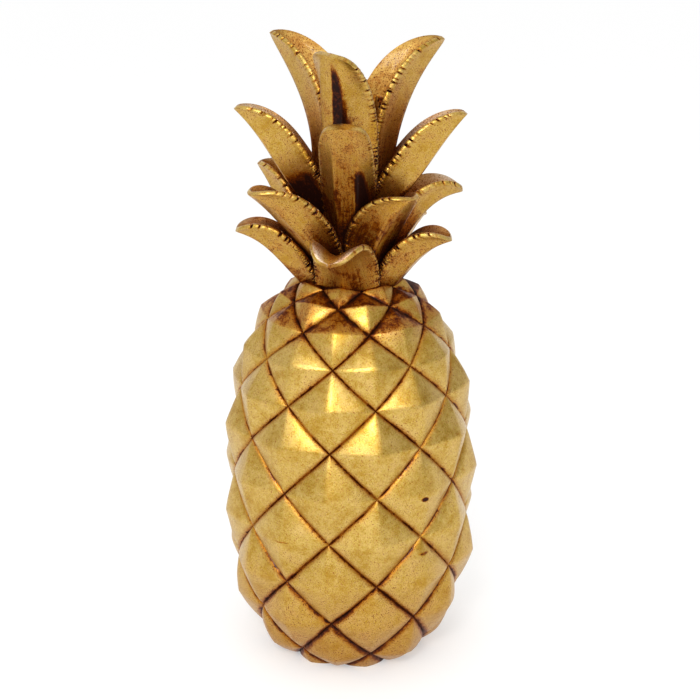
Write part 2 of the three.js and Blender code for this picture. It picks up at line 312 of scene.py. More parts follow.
def gold_colour(tree, reading, patch, mottle, speckle):
    """Bare gold: mottled, with painted shade inside the top leaves, and a pale painted reflection high up
    inside the others.
    """
    tone = weighed(tree, (patch, 0.35), (mottle, 0.2), (speckle, 0.7))
    gold = add(tree, "ShaderNodeValToRGB", tone)
    set_tones(gold, GOLD_TONES)
    # Painted shade: a darker colour inside the hollows of the top leaves
    dull_and_shaded = product(tree, reading["dull_and_shaded"], 0.85)
    gold = add(tree, MIX, {0: dull_and_shaded, 6: gold, 7: GOLD_PAINTED_SHADE_INSIDE}, data_type="RGBA")
    # A pale painted reflection of the white room, high up inside the wings of the leaves below the top
    bright = add(tree, MATH, reading["hollow"], reading["dull_and_shaded"], operation="SUBTRACT")
    from_keel = add(tree, MATH, reading["wing"], operation="ABSOLUTE")
    pale = product(tree, bright, add(tree, RANGE, from_keel, 0.4, 0.75, 0.0, 0.8))
    return add(tree, MIX, {0: pale, 6: gold, 7: GOLD_PAINTED_REFLECTION}, data_type="RGBA")


def gilded_resin():
    """Gold leaf over cast resin: a metal with a soft gloss, mottled by hand, darker with wash and painted
    shade.
    """
    material = bpy.data.materials.new("gold_leaf_with_brown_wash_and_painted_shade")
    material.use_nodes = True
    tree = material.node_tree
    tree.nodes.clear()
    place = add(tree, "ShaderNodeTexCoord").outputs["Object"]
    reading = {
        name: add(tree, "ShaderNodeAttribute", attribute_name=name).outputs["Fac"]
        for name in FRUIT_READINGS + LEAF_READINGS + WASH_AND_SHADE_READINGS
    }
    along_leaf = add(tree, "ShaderNodeAttribute", attribute_name="leaf_place").outputs["Vector"]
    stretch = (1.0, STREAK_WIDTH_MM / STREAK_LENGTH_MM, 1.0)
    along_leaf = add(tree, VECTOR, along_leaf, stretch, operation="MULTIPLY").outputs[0]

    # What the pattern follows, how wide its blotches are in mm, how much finer it goes, and how rough it is
    patch, mottle, speckle, streak, wobble, wrinkle = (
        add(tree, NOISE, {"Vector": on, "Scale": 1 / (size * MM), "Detail": finer, "Roughness": rough})
        for on, size, finer, rough in (
            (place, PATCH_MM, 3.0, 0.55),
            (place, MOTTLE_MM, 4.0, 0.65),
            (place, SPECKLE_MM, 2.0, 0.55),
            (along_leaf, STREAK_WIDTH_MM, 3.0, 0.55),
            (place, HAND_WOBBLE_MM, 1.0, 0.55),
            (place, WRINKLE_MM, 4.0, 0.65),
        )
    )

    gold = gold_colour(tree, reading, patch, mottle, speckle)
    # Wash and painted shade, as one amount, turned into colour by one ramp
    wash = wash_and_shade_amount(tree, reading, place, patch, mottle, speckle, streak)
    wash_and_shade_colour = add(tree, "ShaderNodeValToRGB", wash)
    set_tones(wash_and_shade_colour, WASH_AND_SHADE_TONES)
    covered = add(tree, RANGE, wash, 0.03, 0.5)
    colour = add(tree, MIX, {0: covered, 6: gold, 7: wash_and_shade_colour}, data_type="RGBA")

    metal = add(tree, RANGE, wash, 0.5, 1.0, 1.0, 0.9)
    uneven = add(tree, RANGE, mottle, 0.3, 0.7, 0.24, 0.34)
    roughness = weighed(tree, (uneven, 1.0), (wash, 0.5), (reading["dull_and_shaded"], 0.14))
    slow = {"Height": wobble, "Distance": HAND_WOBBLE_DEPTH_MM * MM, "Strength": 0.5}
    slow = add(tree, "ShaderNodeBump", slow)
    fine = {"Height": wrinkle, "Distance": WRINKLE_DEPTH_MM * MM, "Strength": 0.7, "Normal": slow}
    fine = add(tree, "ShaderNodeBump", fine)

    shader = add(
        tree,
        "ShaderNodeBsdfPrincipled",
        {
            "Base Color": colour,
            "Metallic": metal,
            "Roughness": roughness,
            "Coat Weight": 0.12,
            "Coat Roughness": 0.1,
            "Normal": fine,
        },
    )
    add(tree, "ShaderNodeOutputMaterial", {"Surface": shader})
    return material


gilding = gilded_resin()
print("finish:", gilding.name, "with", len(gilding.node_tree.nodes), "nodes")

# %% [markdown]
# ## The fruit's outline
#
# A pineapple's eyes keep their shape from top to bottom, and only get smaller where the fruit narrows. That
# happens when the rows along the outline are as far apart as the columns round it. So the outline is a
# fuller-than-round curve, and the rows are found by walking down it and counting.

# %% Outline and rows
FRUIT_RADIUS = 61.6
WIDEST_HEIGHT = 94.0
RISE_TO_TOP = 117.0
DROP_TO_BOTTOM = 106.0
TOP_FULLNESS = 2.7
BOTTOM_FULLNESS = 3.1
EYES_ROUND = 8
LATTICE_TURN = math.radians(12.8)
ROW_AT_WIDEST = 5.49
HIGH_ROW_SQUEEZE = 1.067
HIGH_ROW_BELOW = 4.0
LOW_ROW_STRETCH = 1.225
LOW_ROW_FROM = 8.0
OUTLINE_SAMPLES = 4000


def outline_table():
    """The radius, height and row number at small steps down the outline, in mm."""
    place = (np.arange(OUTLINE_SAMPLES) + 0.5) / OUTLINE_SAMPLES
    angle = math.pi * (0.5 - place)
    up = angle >= 0
    reach = np.where(up, RISE_TO_TOP, -DROP_TO_BOTTOM)
    power = np.where(up, 2 / TOP_FULLNESS, 2 / BOTTOM_FULLNESS)
    radius = FRUIT_RADIUS * np.cos(angle)
    height = WIDEST_HEIGHT + reach * np.abs(np.sin(angle)) ** power
    step = np.hypot(np.diff(radius), np.diff(height))
    middle = (radius[1:] + radius[:-1]) / 2
    row = np.concatenate([[0.0], np.cumsum(step / (middle * math.pi / EYES_ROUND))])
    row += ROW_AT_WIDEST - row[np.argmax(height <= WIDEST_HEIGHT)]
    row = np.where(row < LOW_ROW_FROM, row, LOW_ROW_FROM + (row - LOW_ROW_FROM) / LOW_ROW_STRETCH)
    row = np.where(row > HIGH_ROW_BELOW, row, HIGH_ROW_BELOW + (row - HIGH_ROW_BELOW) * HIGH_ROW_SQUEEZE)
    return radius, height, row


outline_radius, outline_height, outline_row = outline_table()
outline_lean = np.arctan2(np.gradient(outline_radius), -np.gradient(outline_height))


def on_outline(row):
    """The radius, the height and the outward direction of the outline at row numbers."""
    lean = np.interp(row, outline_row, outline_lean)
    radius = np.interp(row, outline_row, outline_radius)
    height = np.interp(row, outline_row, outline_height)
    return radius, height, np.cos(lean), np.sin(lean)


print("rows at", [round(float(v)) for v in on_outline(np.arange(0, 11))[1]], "mm")

# %% [markdown]
# ## The fruit's eyes
#
# Each eye is a low pyramid with its ridges level and upright, between four grooves. It could be sculpted,
# but all of them follow one rule, so the mesh only has to know where it is inside its eye, and a Geometry
# Nodes tree raises it. The mesh's lines run along the grooves and its triangles along the ridges, which
# keeps both crisp with few faces.

# %% A mesh whose lines follow the grooves
FIRST_EYE_ROW = -1
LAST_EYE_ROW = 10
HALF_EYE_LINES = [0, 0.013, 0.03, 0.055, 0.095, 0.15, 0.215, 0.285, 0.355, 0.43, 0.5]


def eye_lines():
    """Places across an eye from 0 to 1, closer together beside the grooves."""
    return np.array(HALF_EYE_LINES + [1 - v for v in reversed(HALF_EYE_LINES[:-1])])


def lattice():
    """Points as rows, columns and places inside the eye, and triangles over the whole fruit."""
    lines = eye_lines()
    count = len(lines) - 1
    numbers = {}
    points = []
    faces = []
    for row in range(FIRST_EYE_ROW, LAST_EYE_ROW + 1):
        for eye in range(EYES_ROUND):
            column = 2 * eye + row % 2
            grid = np.zeros((count + 1, count + 1), int)
            for i, across in enumerate(lines):
                for k, down in enumerate(lines):
                    key = (count * row + i + k, (count * column + i - k) % (2 * EYES_ROUND * count))
                    if key not in numbers:
                        numbers[key] = len(points)
                        where = (row - 1 + across + down, column + across - down)
                        points.append(where + (across, down, row * EYES_ROUND + eye + 2 * EYES_ROUND))
                    grid[i, k] = numbers[key]
            for i in range(count):
                for k in range(count):
                    a, b, c, d = grid[i, k], grid[i + 1, k], grid[i + 1, k + 1], grid[i, k + 1]
                    if (i < count / 2) != (k < count / 2):
                        faces += [(a, d, b), (b, d, c)]
                    else:
                        faces += [(a, d, c), (a, c, b)]
    return np.array(points), faces


def close_rims(mesh_points, faces):
    """Closes each open rim with a fan to a point on the axis."""
    edges = set()
    for a, b, c in faces:
        edges |= {(a, b), (b, c), (c, a)}
    following = {b: a for a, b in edges if (b, a) not in edges}
    points = list(map(tuple, mesh_points))
    while following:
        start = next(iter(following))
        rim = [start]
        while following[rim[-1]] != start:
            rim.append(following[rim[-1]])
        for n in rim:
            del following[n]
        hub = len(points)
        points.append((0.0, 0.0, float(np.mean([mesh_points[n][2] for n in rim]))))
        faces = faces + [(rim[i], rim[(i + 1) % len(rim)], hub) for i in range(len(rim))]
    return points, faces


# %% The fruit before its eyes are raised
def store(mesh, name, values):
    """Keeps one number for each point under a name."""
    attribute = mesh.attributes.new(name, "FLOAT", "POINT")
    attribute.data.foreach_set("value", np.asarray(values, dtype=np.float32))


def store_vectors(mesh, name, vectors):
    """Keeps three numbers for each point under a name."""
    flat = np.asarray(vectors, dtype=np.float32).ravel()
    mesh.attributes.new(name, "FLOAT_VECTOR", "POINT").data.foreach_set("vector", flat)


def fruit_mesh():
    """The surface through the bottoms of the grooves, closed at both ends."""
    points, faces = lattice()
    row, column, across, down, eye = points.T
    radius, height, out_level, out_up = on_outline(row)
    turn = LATTICE_TURN + column * math.pi / EYES_ROUND
    where = np.stack([radius * np.sin(turn), -radius * np.cos(turn), height], axis=1) * MM
    closed, faces = close_rims(where, faces)
    mesh = bpy.data.meshes.new("fruit")
    mesh.from_pydata(closed, [], faces)
    hubs = np.zeros(len(closed) - len(where))
    for name, values in {"across": across, "down": down, "eye": eye, "row": row}.items():
        store(mesh, name, np.concatenate([values, hubs]))
    eye_side = radius * math.pi * math.sqrt(2) / EYES_ROUND
    store(mesh, "eye_side", np.concatenate([eye_side, hubs + 1.0]) * MM)
    outward = np.stack([out_level * np.sin(turn), -out_level * np.cos(turn), out_up], axis=1)
    store_vectors(mesh, "outward", np.concatenate([outward, np.zeros((len(hubs), 3))]))
    return mesh


# %% Helpers for Geometry Nodes
STORED = "GeometryNodeInputNamedAttribute"
STORE = "GeometryNodeStoreNamedAttribute"
MOVE = "GeometryNodeSetPosition"
RANDOM = "FunctionNodeRandomValue"


def tree_with(name, sizes):
    """A Geometry Nodes tree with a Geometry input and output, and one named input for each size."""
    tree = bpy.data.node_groups.new(name, "GeometryNodeTree")
    tree.interface.new_socket("Geometry", in_out="INPUT", socket_type="NodeSocketGeometry")
    tree.interface.new_socket("Geometry", in_out="OUTPUT", socket_type="NodeSocketGeometry")
    for size in sizes:
        kind = {int: "NodeSocketInt", float: "NodeSocketFloat"}.get(type(sizes[size]), "NodeSocketMaterial")
        tree.interface.new_socket(size, in_out="INPUT", socket_type=kind)
    return tree, tree.nodes.new("NodeGroupInput").outputs


def end_tree(tree, geometry, material):
    """Ends a tree in real geometry with its material."""
    whole = add(tree, "GeometryNodeRealizeInstances", geometry)
    dressed = add(tree, "GeometryNodeSetMaterial", {"Geometry": whole, "Material": material})
    add(tree, "NodeGroupOutput", dressed)


def settled(piece):
    """The object's mesh after its modifiers, as a new plain mesh. The modifiers are removed."""
    bpy.context.view_layer.update()
    evaluated = piece.evaluated_get(bpy.context.evaluated_depsgraph_get())
    mesh = bpy.data.meshes.new_from_object(evaluated)
    piece.modifiers.clear()
    return mesh


def apply_tree(piece, tree, sizes):
    """Runs a tree on an object and returns the result as a new plain mesh."""
    modifier = piece.modifiers.new(tree.name, "NODES")
    modifier.node_group = tree
    for item in tree.interface.items_tree:
        if item.in_out == "INPUT" and item.name in sizes:
            modifier[item.identifier] = sizes[item.name]
    return settled(piece)


def object_of(mesh, name):
    """A new object of a mesh, in the scene."""
    piece = bpy.data.objects.new(name, mesh)
    bpy.context.scene.collection.objects.link(piece)
    return piece


# %% The rule that raises an eye
EYE_HEIGHT = 6.7
GROOVE_WIDTH = 1.6
GROOVE_DEPTH = 0.9
GROOVE_SHOULDER = 0.7
EYE_CROWN_TOP = 0.9
EYE_CROWN_LOW = 0.72
RIDGE_ROUNDING_TOP = 0.015
RIDGE_ROUNDING_LOW = 0.06
CASTING_WARP = 0.9
WARP_SIZE = 30.0
UNEVENNESS = 0.09


def eye_relief(tree, given):
    """How far each point rises above the bottoms of the grooves, and how far it is from one."""
    across, down, side, row, eye = (
        add(tree, STORED, {"Name": name}).outputs["Attribute"]
        for name in ("across", "down", "eye_side", "row", "eye")
    )
    lower = add(tree, RANGE, row, 2.0, 9.0)
    rounding = {0: lower, 2: given["Ridge rounding, top"], 3: given["Ridge rounding, low"]}
    rounding = add(tree, MIX, rounding, data_type="FLOAT")
    crown = add(tree, MIX, {0: lower, 2: given["Crown, top"], 3: given["Crown, low"]}, data_type="FLOAT")
    from_left, from_top = (
        add(tree, MATH, way, add(tree, MATH, 1.0, way, operation="SUBTRACT"), operation="MINIMUM")
        for way in (across, down)
    )
    inset = add(tree, MATH, from_left, from_top, rounding, operation="SMOOTH_MIN")
    inset = add(tree, MATH, inset, 0.0, operation="MAXIMUM")
    edge = add(tree, MATH, from_left, from_top, operation="MINIMUM")
    distance = product(tree, edge, side)

    half_groove = product(tree, given["Groove width"], 0.5)
    groove_share = add(tree, MATH, half_groove, side, operation="DIVIDE")
    climb = add(tree, MATH, inset, groove_share, operation="SUBTRACT")
    whole_climb = add(tree, MATH, 0.5, groove_share, operation="SUBTRACT")
    climb = add(tree, MATH, climb, whole_climb, operation="DIVIDE", use_clamp=True)
    climb = add(tree, MATH, climb, crown, operation="POWER")
    luck = {"Min": -1.0, "Max": 1.0, "ID": eye, "Seed": given["Seed"]}
    luck = add(tree, RANDOM, luck, data_type="FLOAT")
    uneven = add(tree, MATH, luck, given["Unevenness"], 1.0, operation="MULTIPLY_ADD")
    widest_side = FRUIT_RADIUS * math.pi * math.sqrt(2) / EYES_ROUND * MM
    size = add(tree, MATH, side, widest_side, operation="DIVIDE")
    rise = add(tree, MATH, given["Eye height"], given["Groove depth"], operation="SUBTRACT")
    rise = product(tree, rise, size, uneven)
    shoulder = add(tree, MATH, distance, half_groove, operation="DIVIDE", use_clamp=True)
    shoulder = add(tree, MATH, shoulder, GROOVE_SHOULDER, operation="POWER")
    relief = product(tree, given["Groove depth"], shoulder)
    return add(tree, MATH, climb, rise, relief, operation="MULTIPLY_ADD"), distance


def eye_tree(sizes):
    """Raises a pyramid between its grooves: planar near the top of the fruit, softer further down."""
    tree, given = tree_with("raise_the_eyes", sizes)
    relief, distance = eye_relief(tree, given)
    outward = add(tree, STORED, {"Name": "outward"}, data_type="FLOAT_VECTOR")
    raised = add(tree, VECTOR, {0: outward, "Scale": relief}, operation="SCALE")
    warp = add(tree, NOISE, {"Scale": 1.0 / (WARP_SIZE * MM), "Detail": 3.0}).outputs["Color"]
    warp = add(tree, VECTOR, warp, (0.5, 0.5, 0.5), operation="SUBTRACT")
    warp = add(tree, VECTOR, {0: warp, "Scale": given["Warp"]}, operation="SCALE")
    offset = add(tree, VECTOR, raised, warp, operation="ADD")
    moved = add(tree, MOVE, {"Geometry": given["Geometry"], "Offset": offset})
    moved = add(tree, STORE, {"Geometry": moved, "Name": "groove_distance", "Value": distance})
    end_tree(tree, moved, given["Material"])
    return tree


# %% Raise the eyes
eye_sizes = {
    "Eye height": EYE_HEIGHT * MM,
    "Groove width": GROOVE_WIDTH * MM,
    "Groove depth": GROOVE_DEPTH * MM,
    "Crown, top": EYE_CROWN_TOP,
    "Crown, low": EYE_CROWN_LOW,
    "Ridge rounding, top": RIDGE_ROUNDING_TOP,
    "Ridge rounding, low": RIDGE_ROUNDING_LOW,
    "Warp": CASTING_WARP * 2 * MM,
    "Unevenness": UNEVENNESS,
    "Seed": 7,
    "Material": gilding,
}

fruit = object_of(fruit_mesh(), "fruit_before_its_eyes")
fruit.data = apply_tree(fruit, eye_tree(eye_sizes), eye_sizes)
print("fruit:", len(fruit.data.polygons), "triangles")

# %% [markdown]
# ## The crown's leaves
#
# Each leaf is a thick gutter: a narrow flat back, two wings and thick rims, and it swings outward on a
# curve from the stem. The rims were notched with a tool while the model was soft, every 2 or 3 mm.
#
# A leaf could be a curve with a swept profile. The section changes its width, depth and wall along the
# way, so here each ring of points is worked out from its place on the keel, and a small Geometry Nodes
# tree presses the notches in. Each is pressed into a single ring, so that it is one crisp fold.

# %% Sizes of the leaves
FRUIT_TOP = WIDEST_HEIGHT + RISE_TO_TOP
LEAF_WALL = 3.4
TIP_HALF_WIDTH = 1.3
KEEL_PULL = 0.38
KEEL_SAMPLES = 400
BACK_CROWN = 0.07
WING_FLARE = 1.3
NOTCH_SPACING = 2.4
RINGS_PER_NOTCH = 4

# Where the keel starts (from the axis, and above the fruit's top), half the width, the wings' depth, the
# share of the width that is flat back, and the wall at the tip. The leaves that face the viewer were
# modelled a little differently.
TIERS = {
    "top": (19, 41, 16.4, 15.5, 0.46, 2.2),
    "top front": (19, 41, 15.6, 15.5, 0.46, 2.8),
    "middle": (14, 27, 14.3, 15, 0.46, 2.2),
    "middle front": (16, 8, 13.2, 7.5, 0.46, 4.8),
    "lower": (20, 4, 16.5, 12, 0.46, 2.2),
    "bottom": (24, -8, 14.4, 10.5, 0.46, 2.2),
    "bottom front": (24, -8, 16.2, 8, 0.2, 2.6),
}
# The tier whose hollows get painted shade and more roughness
DULL_AND_SHADED_INSIDE = "top"

# How the width and the depth swell from the root and draw in to the tip: their share at the root, where
# they are fullest, how long they hold, and how blunt the tip is
SHAPES = {
    "pointed": ((1.0, 0.2, 2.1, 0.36), (0.62, 0.39, 2.9, 0.8)),
    "square": ((1.0, 0.3, 4.0, 0.22), (0.8, 0.3, 1.8, 0.9)),
    "narrow root": ((0.6, 0.5, 4.0, 0.22), (0.8, 0.3, 1.8, 0.9)),
}

# Tier, direction round the stem, tip's distance from the axis and height, keel's slope at root and tip,
# shape, roll about the keel, and how far the tip swings aside. Then the wash that was left on the leaf, and
# the painted shade beside its back: how much wash, how far from the keel the painted shade starts (past 1
# for none), and how far up the leaf it lies.
LEAVES = [
    ("top", -118, 44.8, 117, 100, 52, "pointed", 0, 0, 0.35, 2, 0.4),
    ("top front", -23, 37, 110, 80, 60, "square", 16, 5, 0.35, 0.07, 0.97),
    ("top", 111, 50.5, 114, 84, 46, "pointed", 0, 0, 0.4, 2, 0.4),
    ("top", 178, 40, 90, 88, 46, "pointed", 0, 0, 0.4, 0.2, 0.9),
    ("middle", -87, 57.6, 81.6, 36, 44, "pointed", 0, 0, 0.25, 0.4, 0.42),
    ("middle front", -4, 43.5, 77, 86, 62, "narrow root", 3, 0, 0.7, 0.34, 0.7),
    ("middle", 87, 58.3, 79, 34, 48, "pointed", 0, 0, 0.3, 2, 0.4),
    ("middle", 176, 57, 79, 35, 46, "pointed", 0, 0, 0.5, 0.4, 0.6),
    ("lower", -58, 57.6, 43, 50, 36, "pointed", 0, 0, 0.45, 2, 0.4),
    ("lower", 45, 43.8, 40.5, 70, 49, "pointed", 0, 0, 0.8, 2, 0.4),
    ("lower", 100, 58.7, 37.8, 56, 4, "pointed", 0, 0, 0.4, 2, 0.4),
    ("lower", 165, 56, 39, 55, 25, "pointed", 0, 0, 0.5, 0.4, 0.6),
    ("lower", -108, 49.5, 51.5, 40, 45, "pointed", 0, 0, 0.4, 2, 0.4),
    ("bottom", -83, 58.5, 20.3, 43, 16, "pointed", 0, 0, 0.45, 2, 0.4),
    ("bottom front", -5, 50, 11, 60, -40, "pointed", 4, -6, 0.55, 2, 0.4),
    ("bottom", 72, 53.5, 17.3, 48, 18, "pointed", 0, 0, 0.5, 2, 0.4),
    ("bottom", 137, 56, 19, 45, 14, "pointed", 0, 0, 0.5, 0.4, 0.5),
    ("bottom", -150, 57, 20, 45, 14, "pointed", 0, 0, 0.5, 2, 0.5),
]


# %% The keel of a leaf
def swell(along, root, fullest, hold, bluntness):
    """The share of a leaf's most at a share of its length: it swells from the root, then draws in."""
    rising = root + (1 - root) * np.sin(np.clip(along / fullest, 0, 1) * math.pi / 2)
    falling = np.clip(1 - np.clip((along - fullest) / (1 - fullest), 0, 1) ** hold, 0, 1) ** bluntness
    return np.where(along < fullest, rising, falling)


def slope(degrees):
    """A direction in the plane of the axis: outward, and up."""
    return np.array([math.cos(math.radians(degrees)), math.sin(math.radians(degrees))])


def distances(points):
    """How far each point is from the first, along the way."""
    return np.concatenate([[0], np.cumsum(np.linalg.norm(np.diff(points, axis=0), axis=1))])


def keel(tier, tip_radius, tip_height, leaving, arriving):
    """Evenly spaced points and directions on the keel, in the plane of the axis, in mm."""
    root_radius, root_height = TIERS[tier][:2]
    ends = np.array([[root_radius, FRUIT_TOP + root_height], [tip_radius, FRUIT_TOP + tip_height]])
    pull = KEEL_PULL * np.linalg.norm(ends[1] - ends[0])
    p = [ends[0], ends[0] + pull * slope(leaving), ends[1] - pull * slope(arriving), ends[1]]
    t = np.linspace(0, 1, KEEL_SAMPLES)[:, None]
    curve = (1 - t) ** 3 * p[0] + 3 * (1 - t) ** 2 * t * p[1] + 3 * (1 - t) * t * t * p[2] + t**3 * p[3]
    run = distances(curve)
    rings = RINGS_PER_NOTCH * round(run[-1] / NOTCH_SPACING)
    even = np.linspace(0, run[-1], rings + 1)
    at = np.stack([np.interp(even, run, curve[:, i]) for i in (0, 1)], axis=1)
    along = np.interp(even, run, t[:, 0])
    direction = np.gradient(at, axis=0)
    direction /= np.linalg.norm(direction, axis=1)[:, None]
    return at, direction, along


# %% The section of a leaf
OUTER_PLACES = [0, 0.25, 0.4, 0.46, 0.52, 0.63, 0.76, 0.88, 1]
RIM_POINTS = 3
INNER_POINTS = 9
WALL_BELOW_KEEL = 1 / 3
RIM_INSET = 0.35
RIM_BULGE_OUT = 0.22
RIM_BULGE_UP = 0.12
RIM_EDGE = 0.6


def gutter(across, back_share):
    """How far the leaf has risen, as a share of its depth: a nearly flat back, then a wing that flares."""
    side = np.abs(across)
    back = BACK_CROWN * np.minimum(side / back_share, 1) ** 2
    wing = np.clip((side - back_share) / (1 - back_share), 0, 1)
    return back + (1 - BACK_CROWN) * (1 - (1 - wing) ** WING_FLARE)


def section(half_width, depth, back_share, wall):
    """One ring: across the leaf, from the keel towards the hollow, and which points are on the rims."""
    outer = np.array([-v for v in reversed(OUTER_PLACES[1:])] + OUTER_PLACES)
    inner = np.linspace(1, -1, INNER_POINTS)
    inner_share = 1 - min(0.5, RIM_INSET * wall / half_width)
    low, high = -WALL_BELOW_KEEL * wall, (1 - WALL_BELOW_KEEL) * wall
    half_turn = np.linspace(0, math.pi, RIM_POINTS + 2)[1:-1]
    out, over = np.cos(half_turn), np.sin(half_turn)
    rim_x = half_width * ((1 + inner_share) + (1 - inner_share) * out) / 2 + RIM_BULGE_OUT * wall * over
    rim_y = depth + low + (high - low) * (1 - out) / 2 + RIM_BULGE_UP * wall * over
    x = np.concatenate([half_width * outer, rim_x, half_width * inner_share * inner, -rim_x[::-1]])
    outer_y = depth * gutter(outer, back_share) + low
    inner_y = depth * gutter(inner, back_share) + high
    y = np.concatenate([outer_y, rim_y, inner_y, rim_y[::-1]])
    is_rim = np.zeros(len(x))
    is_rim[len(outer) : len(outer) + RIM_POINTS] = 1
    is_rim[-RIM_POINTS:] = 1
    is_rim[[0, len(outer) - 1]] = RIM_EDGE
    is_hollow = np.zeros(len(x))
    is_hollow[len(outer) + RIM_POINTS : -RIM_POINTS] = 1
    wing = np.concatenate([outer, np.ones(RIM_POINTS), inner, -np.ones(RIM_POINTS)])
    return x, y, {"rim": is_rim, "hollow": is_hollow, "wing": wing}


# %% The mesh of a leaf
def tube(rings, size):
    """The four corners of each face between rings of points, and the two faces that close the ends."""
    sides = []
    for n in range(rings - 1):
        for i in range(size):
            here, beside = n * size + i, n * size + (i + 1) % size
            sides.append((here, beside, beside + size, here + size))
    last = (rings - 1) * size
    return sides, [tuple(range(size - 1, -1, -1)), tuple(range(last, last + size))]


def leaf_mesh(tier, degrees, tip_radius, tip_height, leaving, arriving, shape, roll, swing, *wash):
    """A closed leaf, ring by ring from the root to the tip."""
    at, direction, along = keel(tier, tip_radius, tip_height, leaving, arriving)
    _, _, half_width, depth, back_share, tip_wall = TIERS[tier]
    turn = math.radians(degrees)
    outward = np.array([math.sin(turn), -math.cos(turn), 0.0])
    sideways = np.array([math.cos(turn), math.sin(turn), 0.0])
    up = np.array([0.0, 0.0, 1.0])
    width_shape, depth_shape = SHAPES[shape]
    widths = np.maximum(TIP_HALF_WIDTH, half_width * swell(along, *width_shape))
    depths = depth * swell(along, *depth_shape)
    walls = LEAF_WALL + (tip_wall - LEAF_WALL) * along
    run = distances(at)
    cosine, sine = slope(roll)
    points, places = [], []
    marks = {"rim": [], "hollow": [], "wing": [], "ring": []}
    for n in range(len(at)):
        x, y, marked = section(widths[n], depths[n], back_share, walls[n])
        inward = -direction[n, 1] * outward + direction[n, 0] * up
        centre = at[n, 0] * outward + at[n, 1] * up + swing * along[n] ** 2 * sideways
        rolled = (x * cosine + y * sine)[:, None] * sideways + (y * cosine - x * sine)[:, None] * inward
        points.append(centre + rolled)
        for name, values in {**marked, "ring": np.full(len(x), n)}.items():
            marks[name].append(values)
        places.append(np.stack([x, np.full(len(x), run[n]), y + degrees], axis=1))
    size = len(points[0])
    sides, ends = tube(len(at), size)
    faces = [half for a, b, c, d in sides for half in ((a, b, c), (a, c, d))]
    mesh = bpy.data.meshes.new("leaf")
    mesh.from_pydata((np.concatenate(points) * MM).tolist(), [], faces + ends)
    for name, values in marks.items():
        store(mesh, name, np.concatenate(values))
    store(mesh, "along", np.repeat(along, size))
    # How much wash is on the leaf, and where the painted shade beside its back lies
    for name, value in zip(WASH_AND_SHADE_READINGS, wash):
        store(mesh, name, np.full(len(at) * size, value))
    # Painted shade and more roughness inside the hollows of the top tier
    store(mesh, "dull_and_shaded", np.concatenate(marks["hollow"]) * (tier == DULL_AND_SHADED_INSIDE))
    store_vectors(mesh, "leaf_place", np.concatenate(places) * MM)
    return mesh


# %% The rule that presses the notches in
NOTCH_DEPTH = 1.1
LEAST_NOTCH = 0.2
SHALLOW_NOTCHES = 1.6


def notch_tree(sizes):
    """Presses the rims in at one ring of every few, by an uneven amount, and remembers where."""
    tree, given = tree_with("notch_the_rims", sizes)
    ring, along, rim = (
        add(tree, STORED, {"Name": name}).outputs["Attribute"] for name in ("ring", "along", "rim")
    )
    number = add(tree, MATH, ring, 0.5, operation="ADD")
    number = add(tree, MATH, number, given["Rings per notch"], operation="DIVIDE")
    number = add(tree, MATH, number, operation="FLOOR")
    late = {"Min": 0, "Max": RINGS_PER_NOTCH - 1, "ID": number, "Seed": given["Seed"]}
    late = add(tree, RANDOM, late, data_type="INT")
    first_ring = product(tree, number, given["Rings per notch"])
    turn = add(tree, MATH, ring, first_ring, operation="SUBTRACT")
    is_notch = add(tree, MATH, turn, late, 0.25, operation="COMPARE")
    luck = {"Min": given["Least"], "Max": 1.0, "ID": number, "Seed": given["Seed"]}
    luck = add(tree, RANDOM, luck, data_type="FLOAT")
    luck = add(tree, MATH, luck, SHALLOW_NOTCHES, operation="POWER")
    near_tip = add(tree, RANGE, along, 0.9, 1.0, 1.0, 0.2)
    press = product(tree, is_notch, luck, rim, near_tip)
    depth = product(tree, press, product(tree, given["Depth"], -1.0))
    normal = add(tree, "GeometryNodeInputNormal").outputs[0]
    offset = add(tree, VECTOR, {0: normal, "Scale": depth}, operation="SCALE")
    moved = given["Geometry"]
    for name, value in (("notch", press), ("on_leaf", 1.0), ("groove_distance", 1.0)):
        moved = add(tree, STORE, {"Geometry": moved, "Name": name, "Value": value})
    moved = add(tree, MOVE, {"Geometry": moved, "Offset": offset})
    end_tree(tree, moved, given["Material"])
    return tree


# %% Make the leaves
notch_sizes = {
    "Rings per notch": float(RINGS_PER_NOTCH),
    "Depth": NOTCH_DEPTH * MM,
    "Least": LEAST_NOTCH,
    "Seed": 0,
    "Material": gilding,
}
notching = notch_tree(notch_sizes)
leaves = []
for number, leaf in enumerate(LEAVES):
    piece = object_of(leaf_mesh(*leaf), f"leaf_{number}")
    piece.data = apply_tree(piece, notching, {**notch_sizes, "Seed": number})
    leaves.append(piece)
print("leaves:", len(leaves), "with", sum(len(p.data.polygons) for p in leaves), "faces")

# %% [markdown]
# ## The stem
#
# The leaves grow from a short stem that is hidden between them. It could be a stretched ball, but the
# profile of a turned piece says directly how thick it is at each height.

# %% Stem
STEM_PROFILE = [(22, -15), (23.5, -5), (19, 5), (17, 21), (15, 39), (12.5, 51), (4, 58)]
STEM_SIDES = 40


def stem_mesh():
    """A turned stem, closed at both ends."""
    turn = np.arange(STEM_SIDES) * 2 * math.pi / STEM_SIDES
    points = [
        (radius * math.cos(angle), radius * math.sin(angle), FRUIT_TOP + height)
        for radius, height in STEM_PROFILE
        for angle in turn
    ]
    sides, ends = tube(len(STEM_PROFILE), STEM_SIDES)
    mesh = bpy.data.meshes.new("stem")
    mesh.from_pydata((np.array(points) * MM).tolist(), [], sides + ends)
    mesh.materials.append(gilding)
    for name in ("on_leaf", "notch", "groove_distance"):
        store(mesh, name, np.ones(len(points)))
    return mesh


stem = object_of(stem_mesh(), "stem")
print("stem:", len(stem.data.polygons), "faces")

# %% [markdown]
# ## One casting
#
# The fruit, the stem and the leaves are joined into one closed surface, and the flat foot is cut. They could
# stay separate and only overlap. Joined, the place where two leaves meet is a real crease, in which the wash
# can lie.

